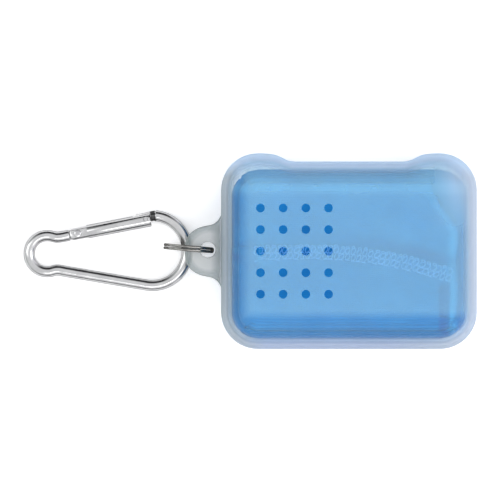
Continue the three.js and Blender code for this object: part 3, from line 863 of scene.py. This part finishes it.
# The painted light and shade is kept on the points for the knit's colour.
nap = towel.data.attributes.new("nap", "FLOAT", "POINT")
nap.data.foreach_set("value", light_and_shade.astype(np.float32).ravel())


# %% [markdown]
# The knit is too fine to model loop by loop at this size. Its rows and columns follow the cloth, so they
# are read from the cloth's own UV map, which is in metres, and raise the surface through a bump node.

# %% The knit
def ribs(tree, place, pitch):
    """A row of round ribs, one at each pitch."""
    return maths(tree, "ABSOLUTE", maths(tree, "SINE", times(tree, place, math.pi / pitch)))


def knit_material():
    material, tree, spot = new_material("blue_knit")
    cloth = node(tree, "ShaderNodeUVMap", uv_map="cloth").outputs[0]
    parts = node(tree, "ShaderNodeSeparateXYZ", {0: cloth})
    row_pitch, wale_pitch = 0.00085, 0.0007
    sway = spread(tree, noise_at(tree, cloth, 120.0), 0.3, 0.7, -0.0002, 0.0002)
    row = ribs(tree, plus(tree, parts.outputs["Y"], sway), row_pitch)
    wale = ribs(tree, parts.outputs["X"], wale_pitch)
    loop = plus(tree, times(tree, row, 0.65), times(tree, wale, 0.35))
    fluff = times(tree, noise_at(tree, spot, 2200.0, 4.0), 0.5)
    cloud = spread(tree, noise_at(tree, spot, 60.0, 5.0), 0.3, 0.7)
    base = mixed(tree, cloud, (0.006, 0.17, 0.45), (0.011, 0.205, 0.52))
    # Painted light and shade: ridges are painted paler and hollows deeper.
    nap = node(tree, "ShaderNodeAttribute", attribute_name="nap").outputs["Fac"]
    base = mixed(tree, spread(tree, nap, 0.0, 1.0), base, (0.045, 0.33, 0.66))
    base = mixed(tree, spread(tree, nap, 0.0, -1.0), base, (0.022, 0.10, 0.36))
    # Partly painted shade: the knit's rows are real, and the grooves between its ribs are painted
    # darker.
    return shown(material, node(tree, "ShaderNodeBsdfPrincipled", {
        "Base Color": mixed(tree, spread(tree, loop, 0.15, 0.75, 0.3), (0.004, 0.12, 0.33), base),
        "Normal": bumped(tree, plus(tree, loop, fluff), 0.45, 0.00012),
        "Roughness": 0.92, "Specular IOR Level": 0.15,
        "Sheen Weight": 0.25, "Sheen Roughness": 0.5, "Sheen Tint": (0.55, 0.78, 1.0, 1),
    }))


towel.data.materials.append(knit_material())
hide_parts("towel")
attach(towel, "case")

# %% [markdown]
# ## The overlocked hem
# An overlock machine wraps the raw edge: a row of knots on the edge itself, loops that cross from the
# edge to a line of needle stitches, and a second row of loops inside that. It repeats every 2 mm, so
# one stitch of bare thread paths is drawn, and Geometry Nodes give it thickness, repeat it along the
# edge's own path and turn each one to follow it.

# %% One stitch
STITCH_PITCH = 2.0
THREAD_RADIUS = 0.19
HEM_WIDTH = 5.2


def stitch_paths():
    """Thread paths of one stitch, x along the hem, y towards the edge, in millimetres."""
    half = HEM_WIDTH / 2
    p = STITCH_PITCH
    paths = [[
        (p * 0.5 + 0.62 * c, half - 0.35 + 0.42 * s, 0.28 + 0.14 * s) for c, s in turn(0, WHOLE, 12)
    ]]
    for low, high in ((-0.1, half - 0.6), (-half + 0.3, -0.2)):
        middle, reach = (low + high) / 2, (high - low) / 2
        paths.append([
            (p * 0.5 + 0.8 * c + 0.34 * s, middle + reach * s, 0.18 + 0.16 * c)
            for c, s in turn(-QUARTER, WHOLE - QUARTER, 16)
        ])
    for y in (-0.15, -half + 0.15):
        shares = (0.06, 0.25, 0.5, 0.75, 0.94)
        paths.append([(p * t, y, 0.16 + 0.20 * math.sin(math.pi * t)) for t in shares])
    return paths


def thread_object(name, paths):
    """Bare lines, as edges without faces."""
    verts, edges = [], []
    for path in paths:
        edges += [(len(verts) + i, len(verts) + i + 1) for i in range(len(path) - 1)]
        verts += path
    return new_object(name, verts, [], edges=edges)


def thread_material():
    material, tree, spot = new_material("hem_thread")
    shade = spread(tree, noise_at(tree, spot, 700.0), 0.3, 0.7)
    return shown(material, node(tree, "ShaderNodeBsdfPrincipled", {
        "Base Color": mixed(tree, shade, (0.05, 0.28, 0.68), (0.10, 0.38, 0.78)),
        "Normal": bumped(tree, noise_at(tree, spot, 5200.0, 3.0), 0.5, 0.00008),
        "Roughness": 0.75, "Sheen Weight": 0.3,
    }))


def random_vector(tree, seed, low, high):
    inputs = {"Seed": seed, 0: low, 1: high}
    return node(tree, "FunctionNodeRandomValue", inputs, data_type="FLOAT_VECTOR").outputs[0]


def hem_tree(stitch, material):
    sizes = [("Pitch", "NodeSocketFloat"), ("Thread radius", "NodeSocketFloat")]
    tree, ins, outs = new_tree("overlock", sizes)
    line = node(tree, "GeometryNodeMeshToCurve", {"Mesh": ins.outputs["Geometry"]})
    even_points = node(tree, "GeometryNodeResampleCurve", {"Curve": line.outputs[0]})
    even_points.mode = "LENGTH"
    tree.links.new(ins.outputs["Pitch"], even_points.inputs["Length"])
    tangent = {"Vector": node(tree, "GeometryNodeInputTangent").outputs[0]}
    turned = node(tree, "FunctionNodeAlignRotationToVector", tangent, axis="X", pivot_axis="Z")
    one = node(tree, "GeometryNodeObjectInfo", {"Object": stitch})
    path = node(tree, "GeometryNodeMeshToCurve", {"Mesh": one.outputs["Geometry"]})
    ring = node(tree, "GeometryNodeCurvePrimitiveCircle", {"Resolution": 6})
    tree.links.new(ins.outputs["Thread radius"], ring.inputs["Radius"])
    thread = node(tree, "GeometryNodeCurveToMesh", {
        "Curve": path.outputs[0], "Profile Curve": ring.outputs[0], "Fill Caps": True,
    })
    put = node(tree, "GeometryNodeInstanceOnPoints", {
        "Points": even_points.outputs[0], "Instance": thread.outputs[0],
        "Rotation": turned.outputs[0],
        "Scale": random_vector(tree, 4, (0.86, 0.86, 0.8), (1.12, 1.04, 1.2)),
    })
    twist = random_vector(tree, 9, (0, 0, -0.16), (0, 0, 0.16))
    twisted = {"Instances": put.outputs[0], "Rotation": twist}
    put = node(tree, "GeometryNodeRotateInstances", twisted)
    return closed_tree(tree, outs, put.outputs[0], material, soft=True)


# %% The hem along the cloth's edge
on_front = np.nonzero((columns[:, 0] == PANELS - 1) & (columns[:, 2] == 0))[0]
edge_row = spots[on_front, 0]
inner_row = spots[on_front, np.argmin(np.abs(rows[:40, 1] - HEM_WIDTH / 27))]
inwards = inner_row - edge_row
middle_row = edge_row + inwards * (HEM_WIDTH / 2 / np.linalg.norm(inwards, axis=1))[:, None]
middle_row = middle_row[(edge_row[:, 0] > HEM_LEFT - 1) & (edge_row[:, 0] < HEM_RIGHT)][::-1]
hem = thread_object("overlock_hem", [[tuple(point) for point in middle_row]])
stitch = thread_object("stitch", stitch_paths())
thread_sizes = {"Pitch": STITCH_PITCH * MM, "Thread radius": THREAD_RADIUS * MM}
run_tree(hem, hem_tree(stitch, thread_material()), thread_sizes)
bpy.data.objects.remove(stitch)
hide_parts("towel_hem")
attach(hem, "case")
print("hem:", len(hem.data.polygons), "faces")

# %% [markdown]
# ## Metals
# The carabiner is polished alloy that has been tumbled, so its shine is a little uneven and carries fine
# scratches. The ring, the rivet and the small steel parts are bright plated steel. Both finishes come
# from one recipe with different colours: noise moves the roughness, and a stretched noise raises faint
# scratches.

# %% Metal finishes
def metal_material(name, dark, bright, rough_low, rough_high):
    """A metal with uneven roughness and fine scratches."""
    material, tree, spot = new_material(name)
    cloud = noise_at(tree, spot, 240.0, 4.0)
    drawn = node(tree, "ShaderNodeMapping", {"Vector": spot, "Scale": (0.12, 1.0, 1.0)})
    return shown(material, node(tree, "ShaderNodeBsdfPrincipled", {
        "Base Color": mixed(tree, spread(tree, cloud, 0.35, 0.65), dark, bright),
        "Roughness": spread(tree, cloud, 0.3, 0.7, rough_low, rough_high),
        "Normal": bumped(tree, noise_at(tree, drawn.outputs[0], 5200.0, 2.0), 0.12, 0.00003),
        "Metallic": 1.0, "Specular Tint": (0.15, 0.15, 0.15, 1),
    }))


def vector_maths(tree, operation, output, *inputs):
    made = node(tree, "ShaderNodeVectorMath", dict(enumerate(inputs)), operation=operation)
    return made.outputs[output]


def paint_neck_shade(material, middle, along, half_length, reach):
    """Paints a short stretch of the metal dark: painted shade in the turned neck at the nose."""
    tree = material.node_tree
    bsdf = next(each for each in tree.nodes if each.type == "BSDF_PRINCIPLED")
    bare = bsdf.inputs["Base Color"].links[0].from_socket
    spot = node(tree, "ShaderNodeTexCoord").outputs["Object"]
    away = vector_maths(tree, "SUBTRACT", 0, spot, tuple(middle))
    run = vector_maths(tree, "DOT_PRODUCT", "Value", away, tuple(along))
    far = vector_maths(tree, "LENGTH", "Value", away)
    in_neck = spread(tree, maths(tree, "ABSOLUTE", run), half_length * 1.12, half_length * 0.9)
    near = spread(tree, far, reach * 1.1, reach)
    dark = mixed(tree, times(tree, in_neck, near), bare, (0.07, 0.07, 0.07))
    tree.links.new(dark, bsdf.inputs["Base Color"])


alloy = metal_material("tumbled_alloy", (0.47, 0.47, 0.472), (0.53, 0.53, 0.532), 0.13, 0.20)
plated = metal_material("plated_steel", (0.21, 0.205, 0.195), (0.30, 0.295, 0.28), 0.12, 0.20)
spring_steel = metal_material("spring_steel", (0.42, 0.42, 0.43), (0.58, 0.58, 0.58), 0.22, 0.34)

for name in ("latch_pin", "gate_plunger", "gate_spring"):
    frame["nodes"][name].material_slots[0].material = spring_steel

# %% [markdown]
# ## The split ring
# A flat-sided wire wound twice and stepped across from one coil to the other. It could be two tori, but
# a real split ring is one wire, and its cut ends show. So one path is walked with the wire's section.


# %% The split ring
def swept(name, frames, section, rounding=0.0):
    """A section carried along (point, side, up) frames. Rounding closes the ends softly."""
    def ring(point, side, up, size=1.0):
        return [
            tuple(point[k] + (a * side[k] + b * up[k]) * size for k in range(3)) for a, b in section
        ]

    rings = [ring(*each) for each in frames]
    if rounding:
        for end, step in ((0, 1), (-1, -1)):
            point, side, up = (Vector(part) for part in frames[end])
            away = (point - Vector(frames[end + step][0])).normalized()
            widest = max(math.hypot(a, b) for a, b in section)
            caps = [
                ring(point + away * rounding * s, side, up, 1 - rounding * (1 - c) / widest)
                for c, s in turn(0, QUARTER, 4)[1:]
            ]
            rings = caps[::-1] + rings if end == 0 else rings + caps
    return loft(name, rings)


def rounded_section(wide, high, corner, steps=4):
    """A rectangle with round corners, as (side, up) points."""
    points = []
    for sx, sy, start in ((1, 1, 0), (-1, 1, 90), (-1, -1, 180), (1, -1, 270)):
        cx, cy = sx * (wide / 2 - corner), sy * (high / 2 - corner)
        for i in range(steps + 1):
            angle = math.radians(start + 90 * i / steps)
            points.append((cx + corner * math.cos(angle), cy + corner * math.sin(angle)))
    return points


RING_WIRE = (1.3, 1.0)
RING_RADIUS = 9 - RING_WIRE[0] / 2
COIL_PITCH = 1.12
RING_Y = 1.0
RING_STEP = math.radians(34)
ring_low, ring_high = in_mm(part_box("split_ring"))
ring_middle = [(a + b) / 2 for a, b in zip(ring_low, ring_high)]
RING_TURN = -5.1


def ring_frames():
    found = []
    steps = 320
    for i in range(steps + 1):
        angle = RING_STEP / 2 + i / steps * (4 * math.pi - RING_STEP)
        across = float(smooth(angle, 2 * math.pi - RING_STEP / 2, 2 * math.pi + RING_STEP / 2))
        layer = COIL_PITCH * (across - 0.5)
        out = (math.cos(angle), math.sin(angle), 0)
        found.append(((RING_RADIUS * out[0], RING_RADIUS * out[1], layer), out, (0, 0, 1)))
    return found


split_ring = swept("split_ring_wire", ring_frames(), rounded_section(*RING_WIRE, 0.46), 0.15)
stand = Matrix.Rotation(math.radians(RING_TURN), 4, "Z") @ Matrix.Rotation(math.pi / 2, 4, "X")
place = Matrix.Translation(Vector((ring_middle[0], RING_Y, ring_middle[2])) * MM)
placed(split_ring, place @ stand)
split_ring.data.materials.append(plated)
smoothed(split_ring, 50)
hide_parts("split_ring")
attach(split_ring, "ring")
print("ring:", [round(c, 2) for c in ring_middle])

# %% [markdown]
# ## The carabiner's body
# One round rod, bent: a hooked nose, a wide bow, a straight arm, a waist, a narrow loop, and a flattened
# eye for the rivet. A curve with a bevel would do for the rod, but not for its ends. So the path is
# walked with a round section, and the eye and the nose are cut plates that grow out of its ends.
# The carabiner leans on the ring, so everything is built flat and then turned about the rivet.

# %% The carabiner's frame and path
ROD, BOW, LOOP = 2.0, 12.4, 6.43
LOOP_X, LOOP_Y = -37.27, -1.1
PIVOT = Vector((LOOP_X + 10.8, LOOP_Y + 7.1))
NOSE_ANGLE, ARM_ANGLE, LOOP_OPEN = math.radians(84), math.radians(9.6), math.radians(70)
NOSE_ABOVE = 1.03
nose_point = Vector((BOW * math.cos(NOSE_ANGLE), BOW * math.sin(NOSE_ANGLE)))
gate_line = nose_point - Vector((0, NOSE_ABOVE)) - PIVOT
GATE_ANGLE, GATE_SPAN = math.atan2(gate_line.y, gate_line.x), gate_line.length
GATE_END = GATE_SPAN - 2
EYE_SHOULDER = math.hypot(2.75, 0.9) + 0.3

hinge = joints["gate_open"]
clip_z = -Vector(hinge["axis"]).normalized()
clip_y = Vector((0, 1, 0))
clip_x = clip_y.cross(clip_z)
clip_turn = Matrix((clip_x, clip_y, clip_z)).transposed().to_4x4()
clip_place = Matrix.Translation(hinge["pos_m"]) @ clip_turn @ shift(-PIVOT.x, -PIVOT.y)
gate_place = clip_place @ shift(PIVOT.x, PIVOT.y) @ Matrix.Rotation(GATE_ANGLE, 4, "Z")
print("carabiner frame at", [round(c / MM, 2) for c in clip_place.translation])


def bend(start, start_angle, end, end_angle, handle=1.6, steps=14):
    p1 = (start[0] + handle * math.cos(start_angle), start[1] + handle * math.sin(start_angle))
    p2 = (end[0] - handle * math.cos(end_angle), end[1] - handle * math.sin(end_angle))
    return bezier(start, p1, p2, end, steps)


def on_loop(angle):
    return (LOOP_X + LOOP * math.cos(angle), LOOP_Y + LOOP * math.sin(angle))


def along_gate(distance):
    return (PIVOT.x + distance * math.cos(GATE_ANGLE), PIVOT.y + distance * math.sin(GATE_ANGLE))


def rod_path():
    """The rod's middle line from the nose to the eye."""
    arm_start = -math.pi / 2 - ARM_ANGLE
    path = [p[:2] for p in arc_points(0, 0, BOW, NOSE_ANGLE, arm_start, 90)]
    arm_x, arm_y = path[-1]
    arm_length = (arm_x - LOOP_X - LOOP) / math.cos(ARM_ANGLE)
    for i in range(1, 25):
        run = arm_length * i / 24
        path.append((arm_x - run * math.cos(ARM_ANGLE), arm_y + run * math.sin(ARM_ANGLE)))
    path += bend(path[-1], math.pi - ARM_ANGLE, on_loop(-LOOP_OPEN), -LOOP_OPEN - math.pi / 2)
    loop = arc_points(LOOP_X, LOOP_Y, LOOP, -LOOP_OPEN, LOOP_OPEN - WHOLE, 70)
    path += [p[:2] for p in loop][1:]
    path += bend(path[-1], LOOP_OPEN - math.pi / 2, along_gate(-EYE_SHOULDER), GATE_ANGLE)
    return path


def rod_frames(path):
    found = []
    for i, (x, y) in enumerate(path):
        ax, ay = path[max(i - 1, 0)]
        bx, by = path[min(i + 1, len(path) - 1)]
        along = Vector((bx - ax, by - ay)).normalized()
        found.append(((x, y, 0), (-along.y, along.x, 0), (0, 0, 1)))
    return found


# %% The rod, the eye and the hooked nose
GATE, BORE, OVER_PIVOT = 2.4, 1.6, 2.75
WEB_HIGH, WEB_LOW = GATE_END - 6, GATE_END - 6.8
PIN_X, PIN_Y, PIN_ROOM = GATE_END - 1.55, 0.5, 0.65 + 0.3
EYE_REACH, EYE_HALF, EYE_THICK = 2.0, 1.7, 1.8
HOOK_THICK = 1.3
RIVET_ROOM = 0.75 + 0.2


def circle_section(radius, sides=36):
    return [(radius * c, radius * s) for c, s in turn(0, WHOLE, sides)[:-1]]


def hook_outline():
    top, tip, root, under = NOSE_ABOVE + ROD - 0.1, WEB_HIGH + 0.8, GATE_SPAN + 0.2, -0.6
    outline = [
        (root, under), (root, top), (GATE_END - 0.4, top), (tip + 0.4, GATE + 0.4),
        (tip, GATE - 0.4), (tip, 0), (tip + 0.5, under), (PIN_X - PIN_ROOM, under),
    ]
    outline += [(PIN_X + PIN_ROOM * c, PIN_Y + PIN_ROOM * s) for c, s in turn(math.pi, 0, 12)]
    outline.append((PIN_X + PIN_ROOM, under))
    return outline[::-1]


def eye_outline():
    start, chamfer = -EYE_SHOULDER - 1, 0.4
    return [
        (start, -EYE_HALF), (EYE_REACH - chamfer, -EYE_HALF), (EYE_REACH, -EYE_HALF + chamfer),
        (EYE_REACH, EYE_HALF - chamfer), (EYE_REACH - chamfer, EYE_HALF), (start, EYE_HALF),
    ]


to_gate = clip_place.inverted() @ gate_place
rod = swept("carabiner_rod", rod_frames(rod_path()), circle_section(ROD), 0.25)
eye = prism("eye", eye_outline(), -EYE_THICK / 2, EYE_THICK / 2)
hook = prism("hook", hook_outline(), -HOOK_THICK / 2, HOOK_THICK / 2)
neck = rod_x("neck", ROD - 0.35, GATE_END + 0.55, GATE_SPAN + 0.6)
placed(neck, shift(0, NOSE_ABOVE))
for tool in (eye, hook, neck):
    carve(rod, placed(tool, to_gate), "UNION")
rivet_hole = lathe("rivet_hole", [(RIVET_ROOM, -4), (RIVET_ROOM, 4)])
carve(rod, placed(rivet_hole, to_gate))
softened(rod, 0.12)
placed(rod, clip_place)
neck_middle = gate_place @ (Vector((GATE_END + 1.15, NOSE_ABOVE, 0)) * MM)
gate_way = gate_place.to_3x3() @ Vector((1, 0, 0))
# Painted shade: the neck's recess at the nose is painted dark.
paint_neck_shade(alloy, neck_middle, gate_way, 0.85 * MM, 3.2 * MM)
rod.data.materials.append(alloy)
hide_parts("carabiner_body")
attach(rod, "carabiner")
print("rod:", len(rod.data.polygons), "faces")

# %% [markdown]
# ## The gate
# The gate is a short rod with a bore from each end. A spring and a plunger sit in the long bore, and the
# nose hooks over a pin in the short one. It is cut as a machinist would: turn the blank, bore both ends,
# mill the slots for the eye and the nose, drill for the rivet and the pin, then break every edge.


# %% The gate
def gate_blank():
    start = math.pi - math.asin(GATE / OVER_PIVOT)
    outline = [(GATE_END, -GATE), (GATE_END, GATE)]
    outline += [p[:2] for p in arc_points(0, 0, OVER_PIVOT, start, 2 * math.pi - start, 20)]
    blank = rod_x("gate_tube", GATE, -OVER_PIVOT - 0.1, GATE_END, 64)
    return carve(blank, prism("outline", outline[::-1], -GATE - 0.1, GATE + 0.1), "INTERSECT")


FAR = 4.4  # past the blank on every side
SIDE_GAP = 0.3
SLOT_HALF, SLOT_END = EYE_THICK / 2 + SIDE_GAP, math.hypot(EYE_REACH, EYE_HALF) + 0.9
HOOK_ROOM = HOOK_THICK / 2 + SIDE_GAP
CHEEK = 1.95
PIN_HOLE = 0.85
gate = gate_blank()
cuts = [
    rod_x("spring_bore", BORE, -FAR, WEB_LOW),
    rod_x("pocket", BORE, WEB_HIGH, GATE_END + FAR),
    block("eye_slot", (-FAR, -FAR, -SLOT_HALF), (SLOT_END, FAR, SLOT_HALF)),
    block("hook_slot", (WEB_HIGH, 0, -HOOK_ROOM), (GATE_END + FAR, FAR, HOOK_ROOM)),
    block("top_flat", (-FAR, -FAR, CHEEK), (SLOT_END, FAR, FAR)),
    block("bottom_flat", (-FAR, -FAR, -FAR), (SLOT_END, FAR, -CHEEK)),
    lathe("rivet_hole", [(RIVET_ROOM, -FAR), (RIVET_ROOM, FAR)], 32),
    placed(lathe("pin_hole", [(PIN_HOLE, -FAR), (PIN_HOLE, FAR)], 32), shift(PIN_X, PIN_Y)),
]
for tool in cuts:
    carve(gate, tool)
softened(gate, 0.14)
placed(gate, gate_place)
gate.data.materials.append(alloy)
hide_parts("carabiner_gate")
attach(gate, "gate")
print("gate:", len(gate.data.polygons), "faces")

# %% The rivet
RIVET_SHANK, RIVET_HEAD = 0.75, 1.3


def rivet_profile():
    under = CHEEK + 0.12
    dome = [
        (max(RIVET_HEAD * c, 0.02), under + 0.05 + 0.30 * s) for c, s in turn(0, QUARTER, 8)
    ]
    upper = [(RIVET_SHANK, under - 0.02), (RIVET_HEAD - 0.06, under), (RIVET_HEAD, under + 0.03)]
    upper += dome
    return [(radius, -z) for radius, z in reversed(upper)] + upper


rivet = lathe("gate_rivet_domed", rivet_profile(), 40)
placed(rivet, gate_place)
rivet.data.materials.append(spring_steel)
smoothed(rivet, 40)
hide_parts("gate_rivet")
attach(rivet, "gate")
